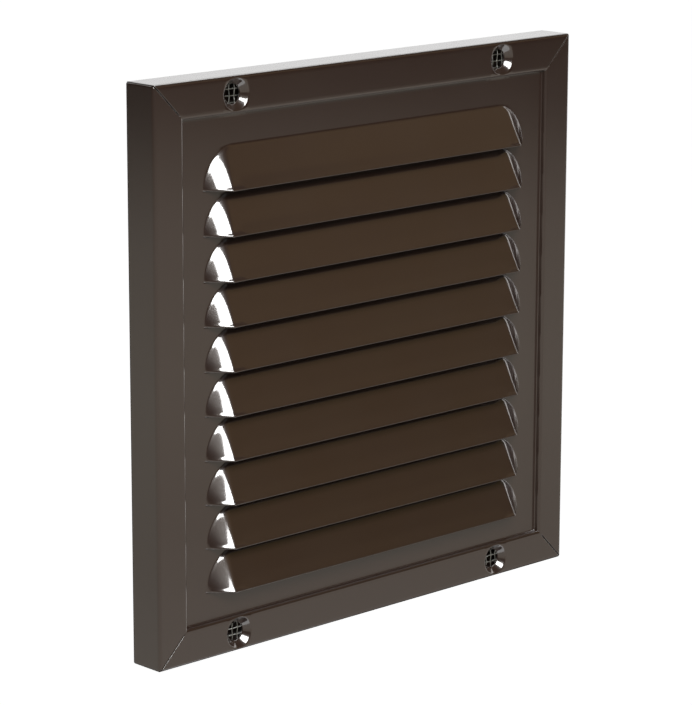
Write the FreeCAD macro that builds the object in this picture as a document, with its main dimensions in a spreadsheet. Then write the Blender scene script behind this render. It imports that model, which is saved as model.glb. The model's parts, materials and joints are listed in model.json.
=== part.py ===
import FreeCAD, Part
import math
import os
import Sketcher

# Ventilation grille: one folded and pressed sheet with ten louvres, and a fly mesh behind it.
# Millimetres. X runs to the right and Z up. The wall is the plane Y = 0 and the front faces -Y.
# The origin is the centre of the wall plane.

# Driving sizes: alias, value in millimetres (or a count), meaning
SIZES = [
    ("width", 150.0, "outside width"),
    ("height", 150.0, "outside height"),
    ("depth", 10.9, "wall plane to the face of the border"),
    ("border", 9.6, "width of the raised border"),
    ("recess", 1.5, "how far the louvred panel lies behind the border"),
    ("thickness", 0.6, "painted sheet"),
    ("bend_inside", 0.3, "inside radius of each fold"),
    ("return_width", 10.0, "inward fold along the wall plane"),
    ("corner_round", 0.5, "rounding of the four outside corners"),
    ("seam_gap", 0.2, "gap of the mitred corner seams"),
    ("louvre_pitch", 11.6, "from one louvre to the next"),
    ("louvre_rise", 11.2, "slit to upper bend, also the radius of the rounded ends"),
    ("louvre_end_margin", 7.3, "inner edge of the border to the end of a slit"),
    ("louvre_margin", 7.5, "least flat strip above and below the louvres"),
    ("louvre_out", 5.0, "how far a lip stands out from the panel"),
    ("end_slope", 5.8, "how far a louvre's end leans in over its full height"),
    ("crease_inside", 0.5, "inside radius between blade and rounded end"),
    ("hole_radius", 2.65, "screw hole"),
    ("hole_spacing", 96.0, "screw holes, left to right"),
    ("dimple_radius", 4.2, "rim of the pressed countersink"),
    ("dimple_depth", 1.5, "depth of the pressed countersink"),
    ("mesh_margin", 0.4, "mesh edge to the side walls"),
    ("mesh_wire", 0.3, "wire of the fly mesh"),
    ("mesh_rib", 1.0, "solid rib between two mesh gaps"),
    ("mesh_count_across", 10, "gaps in a row of the mesh"),
    ("mesh_count_up", 10, "rows of gaps in the mesh"),
]

# Sizes that follow from the driving ones: alias, formula, meaning
DERIVED = [
    ("bend_outside", "bend_inside + thickness", "outside radius of each fold"),
    ("half_width", "width / 2", "centre to side wall"),
    ("half_height", "height / 2", "centre to top wall"),
    ("panel_front", "depth - recess", "wall plane to the front of the panel"),
    ("panel_back", "panel_front - thickness", "wall plane to the back of the panel"),
    ("louvre_length", "width - 2 * (border + louvre_end_margin)", "length of a slit"),
    ("louvre_room", "height - 2 * (border + louvre_margin) - louvre_rise", "first slit to last, at most"),
    ("louvre_count", "floor(louvre_room / louvre_pitch) + 1", "number of louvres"),
    ("top_slit", "((louvre_count - 1) * louvre_pitch - louvre_rise) / 2", "height of the first slit"),
    ("lean", "end_slope / louvre_out", "tangent of the ends' lean"),
    ("lean_skin", "thickness * sqrt(1 + lean * lean)", "sheet measured along X at a leaning end"),
    ("blade_skin", "thickness * sqrt(1 + louvre_out ^ 2 / louvre_rise ^ 2)", "sheet along Y at a blade"),
    ("hole_height", "half_height - border / 2", "screw holes above the centre"),
    ("seam_side", "seam_gap * sqrt(2) / 4", "half a seam's gap, measured along X or Z"),
    ("dimple_slope", "(dimple_radius - hole_radius) / dimple_depth", "tangent of the countersink"),
    ("dimple_skin", "thickness * sqrt(1 + dimple_slope * dimple_slope)", "sheet across the countersink"),
    ("hole_edge", "hole_radius + thickness / 4", "least sheet round the back of a screw hole"),
    ("mesh_back", "panel_back - 2 * mesh_wire", "wall plane to the back of the mesh"),
    ("mesh_width", "width - 2 * (thickness + mesh_margin)", "width of the mesh"),
    ("mesh_height", "height - 2 * (thickness + mesh_margin)", "height of the mesh"),
    ("mesh_step_across", "(mesh_width - mesh_rib) / mesh_count_across", "rib to rib, left to right"),
    ("mesh_step_up", "(mesh_height - mesh_rib) / mesh_count_up", "rib to rib, upwards"),
]

# Working margins of the cutting shapes. They are not sizes of the object.
# LAP is an overlap between joined shapes, CLEAR how far a cutting shape runs past a face,
# and ROOT how far a louvre's block starts behind the panel.
LAP = 2.0
CLEAR = 0.4
ROOT = 3.0

# Limits of the tests: the least volume a cut takes, and the direction of a blade's face
LEAST_CUT = 1e-6
FACES_FORWARD = -0.5
FACES_UP = 0.1
LEVEL = 0.01

doc = FreeCAD.newDocument("ventilation_grille")
sheet = doc.addObject("Spreadsheet::Sheet", "sizes")
slate = doc.addObject("Spreadsheet::Sheet", "slate")


def fill_sheet():
    """Writes the driving sizes as numbers and the derived ones as formulas, each with an alias."""
    for row, (alias, value, meaning) in enumerate(SIZES, start=1):
        sheet.set(f"A{row}", str(value))
        sheet.setAlias(f"A{row}", alias)
        sheet.set(f"B{row}", meaning)
    for row, (alias, formula, meaning) in enumerate(DERIVED, start=len(SIZES) + 2):
        sheet.set(f"A{row}", "=" + formula)
        sheet.setAlias(f"A{row}", alias)
        sheet.set(f"B{row}", meaning)
    doc.recompute()


def named(formula):
    """The same formula with every alias written as a cell of the sheet."""
    words = []
    word = ""
    for letter in formula + " ":
        if letter.isalnum() or letter == "_":
            word += letter
            continue
        words.append("sizes." + word if word in ALIASES else word)
        words.append(letter)
        word = ""
    return "".join(words).strip()


def number(formula):
    """The value of a formula of aliases. It is worked out on a slate, so the sheet isn't touched."""
    slate.set("A1", "=" + named(formula))
    slate.recompute()
    return float(slate.get("A1"))


ALIASES = {alias for alias, _, _ in SIZES + DERIVED}


def new_body(name):
    """An empty body that may hold several separate solids."""
    body = doc.addObject("PartDesign::Body", name)
    body.Label = name
    body.AllowCompound = True
    return body


def origin_plane(body, role):
    """The body's own origin plane or axis with this role."""
    return next(item for item in body.Origin.OriginFeatures if item.Role == role)


def new_sketch(body, name, role, along=None, across=None, up=None):
    """A sketch on an origin plane, moved by formulas: along its normal, and across and up in it."""
    sketch = body.newObject("Sketcher::SketchObject", name)
    sketch.AttachmentSupport = [(origin_plane(body, role), "")]
    sketch.MapMode = "FlatFace"
    for axis, formula in (("x", across), ("y", up), ("z", along)):
        if formula is not None:
            sketch.setExpression(f".AttachmentOffset.Base.{axis}", named(formula))
    return sketch


def tie(sketch, index, formula):
    """Binds one constraint of a sketch to a formula of the sheet's cells."""
    sketch.setExpression(f"Constraints[{index}]", named(formula))


def add_polygon(sketch, corners):
    """A closed polygon. Each corner is a pair of formulas, measured from the sketch's origin."""
    points = [FreeCAD.Vector(number(x), number(y), 0) for x, y in corners]
    count = len(points)
    first = sketch.GeometryCount
    for i in range(count):
        sketch.addGeometry(Part.LineSegment(points[i], points[(i + 1) % count]), False)
    for i in range(count):
        after = first + (i + 1) % count
        sketch.addConstraint(Sketcher.Constraint("Coincident", first + i, 2, after, 1))
    for i, (x, y) in enumerate(corners):
        place_point(sketch, first + i, 1, points[i], x, y)


def place_point(sketch, line, end, point, x, y):
    """Holds one end of a line at two formulas from the sketch's origin."""
    index = sketch.addConstraint(Sketcher.Constraint("DistanceX", -1, 1, line, end, point.x))
    tie(sketch, index, x)
    index = sketch.addConstraint(Sketcher.Constraint("DistanceY", -1, 1, line, end, point.y))
    tie(sketch, index, y)


def add_folded_outline(sketch, corners):
    """A closed outline of level and upright lines. A corner with a radius is a tangent arc.

    Each corner is (x, y, radius) in formulas, and radius is None at a sharp corner."""
    points = [FreeCAD.Vector(number(x), number(y), 0) for x, y, _ in corners]
    radii = [number(radius) if radius else 0.0 for _, _, radius in corners]
    count = len(points)
    for i in range(count):
        a, b = points[i], points[(i + 1) % count]
        run = (b - a).normalize()
        start = a + run * radii[i]
        finish = b - run * radii[(i + 1) % count]
        sketch.addGeometry(Part.LineSegment(start, finish), False)
        level = abs(run.x) > abs(run.y)
        sketch.addConstraint(Sketcher.Constraint("Horizontal" if level else "Vertical", i))
        kind, value = ("DistanceY", a.y) if level else ("DistanceX", a.x)
        index = sketch.addConstraint(Sketcher.Constraint(kind, -1, 1, i, 1, value))
        tie(sketch, index, corners[i][1] if level else corners[i][0])
    for i in range(count):
        before = (i - 1) % count
        if not corners[i][2]:
            sketch.addConstraint(Sketcher.Constraint("Coincident", before, 2, i, 1))
            continue
        add_corner_arc(sketch, before, i, points[i], radii[i], corners[i][2])


def add_corner_arc(sketch, before, after, corner, radius, formula):
    """An arc that runs tangent from the end of one line to the start of the next."""
    into = sketch.Geometry[before].EndPoint
    out = sketch.Geometry[after].StartPoint
    centre = into + out - corner
    turns_left = (corner - into).cross(out - corner).z > 0
    start, finish = (into, out) if turns_left else (out, into)
    circle = Part.Circle(centre, FreeCAD.Vector(0, 0, 1), radius)
    first = math.atan2(start.y - centre.y, start.x - centre.x)
    last = math.atan2(finish.y - centre.y, finish.x - centre.x)
    if last < first:
        last += 2 * math.pi
    arc = sketch.addGeometry(Part.ArcOfCircle(circle, first, last), False)
    at_start, at_end = (1, 2) if turns_left else (2, 1)
    sketch.addConstraint(Sketcher.Constraint("Tangent", before, 2, arc, at_start))
    sketch.addConstraint(Sketcher.Constraint("Tangent", arc, at_end, after, 1))
    index = sketch.addConstraint(Sketcher.Constraint("Radius", arc, radius))
    tie(sketch, index, formula)


def add_pad(body, name, sketch, formula, lean=None, backwards=False):
    """Material from a sketch, along its normal or backwards, as long as the formula says."""
    pad = body.newObject("PartDesign::Pad", name)
    pad.Profile = sketch
    pad.Reversed = backwards
    pad.setExpression("Length", named(formula))
    if lean is not None:
        pad.setExpression("TaperAngle", named(lean))
    doc.recompute()
    return pad


def add_pocket(body, name, sketch, formula, symmetric=False, along_normal=False):
    """Takes material away from a sketch, as deep as the formula says."""
    pocket = body.newObject("PartDesign::Pocket", name)
    pocket.Profile = sketch
    pocket.Midplane = symmetric
    pocket.Reversed = along_normal
    pocket.setExpression("Length", named(formula))
    volume = body.Shape.Volume
    doc.recompute()
    if not body.Shape.Volume < volume - LEAST_CUT:
        raise RuntimeError(name + " takes nothing away")
    return pocket


def add_fillet(body, name, base, edges, formula):
    """Rounds the numbered edges of the body's last feature."""
    fillet = body.newObject("PartDesign::Fillet", name)
    fillet.Base = (base, [f"Edge{index + 1}" for index in edges])
    fillet.setExpression("Radius", named(formula))
    doc.recompute()
    return fillet


def add_pattern(body, name, original, axis, count, spacing, second=None):
    """Repeats a feature along an axis. second is another (axis, count, spacing) for a grid."""
    pattern = body.newObject("PartDesign::LinearPattern", name)
    pattern.Originals = [original]
    pattern.Direction = (origin_plane(body, axis), [""])
    pattern.Mode = "Extent"
    pattern.setExpression("Occurrences", named(count))
    pattern.setExpression("Length", named(f"({count} - 1) * {spacing}"))
    if second:
        axis, count, spacing = second
        pattern.Direction2 = (origin_plane(body, axis), [""])
        pattern.Mode2 = "Extent"
        pattern.setExpression("Occurrences2", named(count))
        pattern.setExpression("Length2", named(f"({count} - 1) * {spacing}"))
    body.Tip = pattern
    doc.recompute()
    return pattern


def make_border():
    """The sheet's folded border: one section carried round the square, with mitred corners."""
    body = new_body("folded_sheet")
    path = new_sketch(body, "border_path", "XZ_Plane")
    add_polygon(path, [
        ("0", "half_height"),
        ("half_width", "half_height"),
        ("half_width", "-half_height"),
        ("-half_width", "-half_height"),
        ("-half_width", "half_height"),
    ])
    section = new_sketch(body, "border_section", "YZ_Plane")
    add_folded_outline(section, [
        ("-panel_front", f"half_height - border - {LAP}", None),
        ("-panel_front", "half_height - border", "bend_inside"),
        ("-depth", "half_height - border", "bend_outside"),
        ("-depth", "half_height", "bend_outside"),
        ("0", "half_height", "bend_outside"),
        ("0", "half_height - return_width", None),
        ("-thickness", "half_height - return_width", None),
        ("-thickness", "half_height - thickness", "bend_inside"),
        ("-depth + thickness", "half_height - thickness", "bend_inside"),
        ("-depth + thickness", "half_height - border + thickness", "bend_inside"),
        ("-panel_back", "half_height - border + thickness", "bend_outside"),
        ("-panel_back", f"half_height - border - {LAP}", None),
    ])
    doc.recompute()
    pipe = body.newObject("PartDesign::AdditivePipe", "border")
    pipe.Profile = section
    pipe.Spine = (path, [f"Edge{i + 1}" for i in range(path.GeometryCount)])
    pipe.Transition = "Right corner"
    doc.recompute()
    return body


def add_panel(body):
    """The flat middle of the sheet, level with the inner edge of the border's section."""
    outline = new_sketch(body, "panel_outline", "XZ_Plane", along="panel_back")
    across = "half_width - border"
    up = "half_height - border"
    add_polygon(outline, [
        (f"-({across})", f"-({up})"),
        (across, f"-({up})"),
        (across, up),
        (f"-({across})", up),
    ])
    add_pad(body, "panel", outline, "thickness")


def round_corners(body):
    """Takes the sharpness off the four long outside corners, with a cut round a rounded outline."""
    outline = new_sketch(body, "rounded_outline", "XZ_Plane", along=f"-{CLEAR}")
    add_folded_outline(outline, [
        ("-half_width", "-half_height", "corner_round"),
        ("half_width", "-half_height", "corner_round"),
        ("half_width", "half_height", "corner_round"),
        ("-half_width", "half_height", "corner_round"),
    ])
    across = f"(half_width + {CLEAR})"
    up = f"(half_height + {CLEAR})"
    add_polygon(outline, [
        (f"-{across}", f"-{up}"),
        (across, f"-{up}"),
        (across, up),
        (f"-{across}", up),
    ])
    add_pocket(body, "outside_corners", outline, f"depth + {2 * CLEAR}", along_normal=True)


def add_screw_dimples(body):
    """Four countersinks pressed into the border, each with a hole through it and the inward fold."""
    place = {"along": "-hole_height", "across": "-hole_spacing / 2"}
    skin = new_sketch(body, "dimple_skin_section", "XY_Plane", **place)
    back = "dimple_radius + dimple_skin - (recess + thickness) * dimple_slope"
    add_polygon(skin, [
        ("hole_radius", "-depth + thickness"),
        ("dimple_radius + dimple_skin - thickness * dimple_slope", "-depth + thickness"),
        (f"max({back}; hole_edge)", "-panel_back"),
        ("hole_radius", "-panel_back"),
    ])
    cone = body.newObject("PartDesign::Revolution", "dimple_skin_one")
    cone.Profile = skin
    cone.ReferenceAxis = (skin, ["V_Axis"])
    doc.recompute()
    four = ("X_Axis", "2", "hole_spacing", ("Z_Axis", "2", "2 * hole_height"))
    add_pattern(body, "dimple_skins", cone, *four)
    bore = new_sketch(body, "dimple_section", "XY_Plane", **place)
    add_polygon(bore, [
        ("0", f"-depth - {CLEAR}"),
        ("dimple_radius", f"-depth - {CLEAR}"),
        ("dimple_radius", "-depth"),
        ("hole_radius", "-depth + dimple_depth"),
        ("hole_radius", f"{CLEAR}"),
        ("0", f"{CLEAR}"),
    ])
    groove = body.newObject("PartDesign::Groove", "dimple_one")
    groove.Profile = bore
    groove.ReferenceAxis = (bore, ["V_Axis"])
    doc.recompute()
    add_pattern(body, "dimples", groove, *four)


def cut_corner_seams(body):
    """A narrow mitre through the border, the wall corner and the inward fold at each corner."""
    seams = new_sketch(body, "corner_seams", "XZ_Plane", along=f"-{CLEAR}")
    for across in ("", "-"):
        for up in ("", "-"):
            corners = []
            for edge, sign in (("- border + bend_outside", "-"), (f"+ {CLEAR}", "-"),
                               (f"+ {CLEAR}", "+"), ("- border + bend_outside", "+")):
                other = "+" if sign == "-" else "-"
                corners.append((f"{across}(half_width {edge} {sign} seam_side)",
                                f"{up}(half_height {edge} {other} seam_side)"))
            add_polygon(seams, corners)
    add_pocket(body, "seams", seams, f"depth + {2 * CLEAR}", along_normal=True)


def make_louvres(name, behind, inset, skin, crease):
    """Ten hoods: a round-ended block with leaning sides, cut by the blade plane and by the slit.

    behind is how far a hood reaches behind the back of the panel, inset how far its ends lie
    inside the sheet's outer skin, and skin how far its blade lies behind the blade's front.
    The block starts deeper, so that the rounded crease runs out behind the panel's front."""
    body = new_body(name)
    start = f"panel_back - {ROOT}"
    length = f"(louvre_out + thickness + {ROOT} + {CLEAR})"
    spread = f"(lean * (thickness + {ROOT}) - {inset})"
    outline = new_sketch(body, name + "_outline", "XZ_Plane", along=start)
    half = f"louvre_length / 2 + {spread}"
    top = f"top_slit + louvre_rise + {spread}"
    low = f"top_slit - lean * {length} - {LAP}"
    add_folded_outline(outline, [
        (f"-({half})", low, None),
        (half, low, None),
        (half, top, f"louvre_rise + {spread}"),
        (f"-({half})", top, f"louvre_rise + {spread}"),
    ])
    add_pad(body, name + "_block", outline, length, lean="-atan(lean)")
    cut = new_sketch(body, name + "_blade_plane", "YZ_Plane")
    back = f"(-panel_back + {ROOT} + {LAP})"
    front = f"(-panel_front - louvre_out - {LAP})"
    crest = f"top_slit + louvre_rise + ({back} + panel_front - {skin}) * louvre_rise / louvre_out"
    add_polygon(cut, [
        (back, crest),
        (f"-panel_front - louvre_out + {skin}", "top_slit"),
        (back, "top_slit"),
        (back, f"{low} - {LAP}"),
        (front, f"{low} - {LAP}"),
        (front, f"{crest} + {LAP}"),
        (back, f"{crest} + {LAP}"),
    ])
    cutter = add_pocket(body, name + "_one", cut, f"louvre_length + 2 * ({spread} + {LAP})", symmetric=True)
    add_fillet(body, name + "_crease", cutter, crease_edges(body.Shape), crease)
    root = new_sketch(body, name + "_root", "XZ_Plane", along=f"panel_back - {behind}")
    add_polygon(root, [
        ("-louvre_length", f"{low} - {LAP}"),
        ("louvre_length", f"{low} - {LAP}"),
        ("louvre_length", crest),
        ("-louvre_length", crest),
    ])
    add_pocket(body, name + "_trimmed", root, f"{ROOT} + {LAP}")
    row = add_pattern(body, name + "_row", cutter, "Z_Axis", "louvre_count", "louvre_pitch")
    row.TransformMode = "Whole shape"
    row.Reversed = True
    doc.recompute()
    return body


def crease_edges(hood):
    """The edges round the blade's face, apart from the lip."""
    blade = next(face for face in hood.Faces if is_blade(face))
    found = []
    for index, edge in enumerate(hood.Edges):
        at_lip = edge.BoundBox.ZLength < CLEAR and edge.BoundBox.ZMax < blade.BoundBox.Center.z
        if not at_lip and any(edge.isSame(side) for side in blade.Edges):
            found.append(index)
    return found


def is_blade(face):
    """True for the flat face that faces forwards and up."""
    if not isinstance(face.Surface, Part.Plane):
        return False
    normal = face.normalAt(0, 0)
    return normal.y < FACES_FORWARD and normal.z > FACES_UP and abs(normal.x) < LEVEL


def add_block(body, name, plane, corner, size, length, backwards=False):
    """A pad of a rectangle in the XZ plane, from its lower left corner and its size in formulas."""
    outline = new_sketch(body, name + "_outline", "XZ_Plane", along=plane)
    left, low = corner
    wide, tall = size
    add_polygon(outline, [
        (left, low),
        (f"{left} + {wide}", low),
        (f"{left} + {wide}", f"{low} + {tall}"),
        (left, f"{low} + {tall}"),
    ])
    return add_pad(body, name, outline, length, backwards=backwards)


def make_mesh():
    """The fly mesh as one thin wall with gaps, its upright wires in front and level ones behind."""
    body = new_body("insect_mesh")
    left = "-mesh_width / 2"
    low = "-mesh_height / 2"
    back = "mesh_back + mesh_wire / 2"
    front = "panel_back - mesh_wire / 2"
    middle = "(mesh_rib - mesh_wire) / 2"
    add_block(body, "web", back, (left, low), ("mesh_width", "mesh_height"), "mesh_wire")
    hole = new_sketch(body, "gap_outline", "XZ_Plane", along=front)
    add_polygon(hole, [
        (f"{left} + mesh_rib", f"{low} + mesh_rib"),
        (f"{left} + mesh_step_across", f"{low} + mesh_rib"),
        (f"{left} + mesh_step_across", f"{low} + mesh_step_up"),
        (f"{left} + mesh_rib", f"{low} + mesh_step_up"),
    ])
    gap = add_pocket(body, "gap", hole, "mesh_wire")
    rows = ("Z_Axis", "mesh_count_up", "mesh_step_up")
    add_pattern(body, "gaps", gap, "X_Axis", "mesh_count_across", "mesh_step_across", rows)
    upright = add_block(body, "upright_wire", front, (f"{left} + {middle}", low),
                        ("mesh_wire", "mesh_height"), "mesh_wire / 2")
    add_pattern(body, "upright_wires", upright, "X_Axis", "(mesh_count_across + 1)", "mesh_step_across")
    level = add_block(body, "level_wire", back, (left, f"{low} + {middle}"),
                      ("mesh_width", "mesh_wire"), "mesh_wire / 2", backwards=True)
    add_pattern(body, "level_wires", level, "Z_Axis", "(mesh_count_up + 1)", "mesh_step_up")
    return body


def make_cover():
    """The whole sheet: the folded border and panel, with the louvres pressed out of the panel."""
    border = make_border()
    add_panel(border)
    round_corners(border)
    add_screw_dimples(border)
    cut_corner_seams(border)
    hoods = make_louvres("hoods", "0", "0", "0", "crease_inside + thickness")
    voids = make_louvres("hood_voids", f"{CLEAR}", "lean_skin", "blade_skin", "crease_inside")
    pressed = doc.addObject("Part::MultiFuse", "pressed_sheet")
    pressed.Shapes = [border, hoods]
    cover = doc.addObject("Part::Cut", "louvred_cover")
    cover.Base = pressed
    cover.Tool = voids
    cover.Refine = True
    doc.recompute()
    return cover


def check(nodes):
    """Stops with a plain message if any object failed or a node's shape is empty or not valid."""
    failed = [item.Name for item in doc.Objects if "Invalid" in item.State or "Error" in item.State]
    if failed:
        raise RuntimeError("failed objects: " + ", ".join(failed))
    for node in nodes:
        if node.Shape.isNull() or not node.Shape.isValid() or len(node.Shape.Solids) != 1:
            raise RuntimeError(node.Label + " is not one valid solid")


fill_sheet()
nodes = [make_cover(), make_mesh()]
doc.removeObject(slate.Name)
doc.recompute()
check(nodes)
os.makedirs("parts", exist_ok=True)
for node in nodes:
    node.Shape.exportStep(f"parts/{node.Label}.step")
    print(node.Label, round(node.Shape.Volume, 1), "mm3")
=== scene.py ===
"""Ventilation grille in dark brown gloss paint, dressed for a studio picture.

One folded and pressed sheet with ten louvres takes the place of the plain solid of the same form,
and a woven fly mesh takes the place of the coarse wall that stands for it. Everything is in metres,
X to the right and Z up. The wall is the plane Y = 0 and the front of the grille looks along -Y.
"""

import json
import math

import bmesh
import bpy
import numpy as np
from mathutils import Matrix, Vector


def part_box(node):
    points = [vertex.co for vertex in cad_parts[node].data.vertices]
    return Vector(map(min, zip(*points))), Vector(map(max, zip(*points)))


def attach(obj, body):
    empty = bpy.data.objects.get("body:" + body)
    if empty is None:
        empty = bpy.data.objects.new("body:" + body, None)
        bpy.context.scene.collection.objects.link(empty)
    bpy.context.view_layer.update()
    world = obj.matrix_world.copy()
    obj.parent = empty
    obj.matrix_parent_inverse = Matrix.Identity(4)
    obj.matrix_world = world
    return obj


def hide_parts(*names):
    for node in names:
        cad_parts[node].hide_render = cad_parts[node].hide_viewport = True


bl_info = {
    "name": "Ventilation grille",
    "version": (1, 0, 0),
    "blender": (4, 5, 0),
    "location": "3D View > Sidebar > Grille",
    "description": "Builds a louvred ventilation grille with its fly mesh and a plain studio",
    "category": "Object",
}

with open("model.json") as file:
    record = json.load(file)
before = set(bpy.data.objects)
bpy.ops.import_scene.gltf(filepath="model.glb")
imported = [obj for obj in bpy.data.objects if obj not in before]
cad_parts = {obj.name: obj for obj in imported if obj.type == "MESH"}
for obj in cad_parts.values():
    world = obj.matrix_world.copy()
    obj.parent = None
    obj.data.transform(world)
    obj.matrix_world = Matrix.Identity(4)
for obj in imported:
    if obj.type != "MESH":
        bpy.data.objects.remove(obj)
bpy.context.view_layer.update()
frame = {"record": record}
COVER_LOW, COVER_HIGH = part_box("louvred_cover")
MESH_LOW, MESH_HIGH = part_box("insect_mesh")
SCREWS = next(mount["dims"] for mount in frame["record"]["mounts"] if mount["name"] == "screw_holes")
MILLIMETRE = 0.001

# Points closer than this are one point
MERGE = 0.000001

# Middle of a screw hole to the grid lines on the bends beside the border's face
BEND_LINES = (0.00410, 0.00428, 0.00445)

# Middle of a screw hole to the edge of the border's flat face, and the grid lines across it
FLAT_REACH = 0.0039
FLAT_LINES = 15

# Length over which a slit or a mitre gap opens to its full width
OPENING = 0.0012

# How far the square grid round a louvre's end reaches past its quarter circle
SQUARE_MARGIN = 0.0002

# Share of the gap beside a cut edge that its rounding may fill
EDGE_SHARE = 0.8

# The range that a noise keeps to nearly everywhere
NOISE_MIDDLE = (0.3, 0.7)

# Heights of the stage's sheet and of its cloths above the floor
SHEET_LIFT, CLOTH_LIFT = 0.002, 0.003


class SheetSizes(bpy.types.PropertyGroup):
    """Sizes of the folded sheet."""

    width: bpy.props.FloatProperty(
        name="Width", description="Outside width", unit="LENGTH", default=COVER_HIGH.x - COVER_LOW.x)
    height: bpy.props.FloatProperty(
        name="Height", description="Outside height", unit="LENGTH", default=COVER_HIGH.z - COVER_LOW.z)
    depth: bpy.props.FloatProperty(
        name="Depth", description="Wall plane to the face of the border", unit="LENGTH", default=0.0109)
    border: bpy.props.FloatProperty(
        name="Border", description="Width of the raised border", unit="LENGTH", default=0.0096)
    recess: bpy.props.FloatProperty(
        name="Recess", description="How far the panel lies behind the border", unit="LENGTH",
        default=0.0015)
    thickness: bpy.props.FloatProperty(
        name="Thickness", description="Painted sheet", unit="LENGTH", default=0.0006)
    bend_inside: bpy.props.FloatProperty(
        name="Inside bend", description="Inside radius of each fold", unit="LENGTH", default=0.0003)
    return_width: bpy.props.FloatProperty(
        name="Return", description="Width of the inward fold along the wall", unit="LENGTH",
        default=0.0100)
    corner_round: bpy.props.FloatProperty(
        name="Corner round", description="Rounding of the outside corners", unit="LENGTH",
        default=0.0005)
    seam_half: bpy.props.FloatProperty(
        name="Half a seam", description="Mitre line to the cut edge beside it", unit="LENGTH",
        default=0.00017)
    edge_round: bpy.props.FloatProperty(
        name="Edge round", description="How far a cut edge swells", unit="LENGTH", default=0.00012)


class LouvreSizes(bpy.types.PropertyGroup):
    """Sizes of the pressed louvres."""

    count: bpy.props.IntProperty(name="Count", description="Number of louvres", default=10)
    pitch: bpy.props.FloatProperty(
        name="Pitch", description="From one slit to the next", unit="LENGTH", default=0.0116)
    rise: bpy.props.FloatProperty(
        name="Rise", description="Slit to upper bend, and radius of the ends", unit="LENGTH",
        default=0.0112)
    end_margin: bpy.props.FloatProperty(
        name="End margin", description="Inner edge of the border to the end of a slit", unit="LENGTH",
        default=0.0073)
    out: bpy.props.FloatProperty(
        name="Out", description="How far a lip stands out from the panel", unit="LENGTH",
        default=0.0050)
    end_slope: bpy.props.FloatProperty(
        name="End slope", description="End of a slit to the crease beside the blade", unit="LENGTH",
        default=0.0058)
    crease_lean: bpy.props.FloatProperty(
        name="Crease lean", description="How far the crease leans in for each length up", default=0.1)
    end_swell: bpy.props.FloatProperty(
        name="End swell", description="How far an end bulges past its chord", unit="LENGTH",
        default=0.00015)
    crease: bpy.props.FloatProperty(
        name="Crease", description="Softness between blade and end", unit="LENGTH", default=0.00035)
    blade_bend: bpy.props.FloatProperty(
        name="Blade bend", description="Width of the bend above each blade", unit="LENGTH",
        default=0.0008)
    end_foot: bpy.props.FloatProperty(
        name="End foot", description="Width of the bend round each end", unit="LENGTH",
        default=0.0004)
    slit_half: bpy.props.FloatProperty(
        name="Half a slit", description="Slit line to the panel's cut edge below it", unit="LENGTH",
        default=0.0001)
    lip_half: bpy.props.FloatProperty(
        name="Lip", description="Slit line to the lip's cut edge above it", unit="LENGTH",
        default=0.0003)


class HoleSizes(bpy.types.PropertyGroup):
    """Sizes of the four pressed countersinks and their screw holes."""

    radius: bpy.props.FloatProperty(
        name="Radius", description="Screw hole", unit="LENGTH",
        default=SCREWS["hole_r_mm"] * MILLIMETRE)
    spacing_across: bpy.props.FloatProperty(
        name="Spacing across", description="Screw holes, left to right", unit="LENGTH",
        default=SCREWS["spacing_x_mm"] * MILLIMETRE)
    spacing_up: bpy.props.FloatProperty(
        name="Spacing up", description="Screw holes, bottom to top", unit="LENGTH",
        default=SCREWS["spacing_y_mm"] * MILLIMETRE)
    dimple_radius: bpy.props.FloatProperty(
        name="Dimple radius", description="Rim of the pressed countersink", unit="LENGTH",
        default=0.0042)
    dimple_depth: bpy.props.FloatProperty(
        name="Dimple depth", description="Depth of the pressed countersink", unit="LENGTH",
        default=0.0015)
    rim: bpy.props.FloatProperty(
        name="Rim", description="Softness of the countersink's rim", unit="LENGTH", default=0.0002)


class WireSizes(bpy.types.PropertyGroup):
    """Sizes of the woven fly mesh."""

    count: bpy.props.IntProperty(name="Count", description="Wires in each direction", default=84)
    diameter: bpy.props.FloatProperty(
        name="Diameter", description="Wire of the fly mesh", unit="LENGTH", default=0.00026)


class Finishes(bpy.types.PropertyGroup):
    """Colours of the paint and the wire."""

    paint: bpy.props.FloatVectorProperty(
        name="Paint", description="Gloss dark brown", subtype="COLOR", size=3,
        default=(0.0292, 0.0147, 0.0112))
    paint_warm: bpy.props.FloatVectorProperty(
        name="Warmer paint", description="Where the paint leans to olive", subtype="COLOR", size=3,
        default=(0.0322, 0.0174, 0.0110))
    wire: bpy.props.FloatVectorProperty(
        name="Wire", description="Plain metal wire", subtype="COLOR", size=3,
        default=(0.62, 0.63, 0.60))


class StudioSettings(bpy.types.PropertyGroup):
    """The camera, the lamps and the floor."""

    lens: bpy.props.FloatProperty(
        name="Lens", description="Focal length in millimetres", unit="CAMERA", default=160.37)
    softbox: bpy.props.FloatProperty(
        name="Softbox", description="Power of the large lamp in front", unit="POWER", default=10.4)
    back: bpy.props.FloatProperty(
        name="Back lamp", description="Power of the lamp behind", unit="POWER", default=4.0)
    floor_drop: bpy.props.FloatProperty(
        name="Floor", description="Middle of the grille down to the floor", unit="LENGTH", default=0.5)
    fill: bpy.props.FloatProperty(
        name="Fill", description="Soft light from all round", subtype="FACTOR", default=0.17)


def ramp(distance, width):
    """Zero up to 0, a parabola over the width, then a straight line of slope 1."""
    inside = np.clip(distance, 0.0, width)
    return inside * inside / (2.0 * width) + np.maximum(distance - width, 0.0)


def smooth_step(share):
    """Rises from 0 to 1 without a corner, as 3 t squared minus 2 t cubed."""
    t = np.clip(share, 0.0, 1.0)
    return t * t * (3.0 - 2.0 * t)


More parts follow.
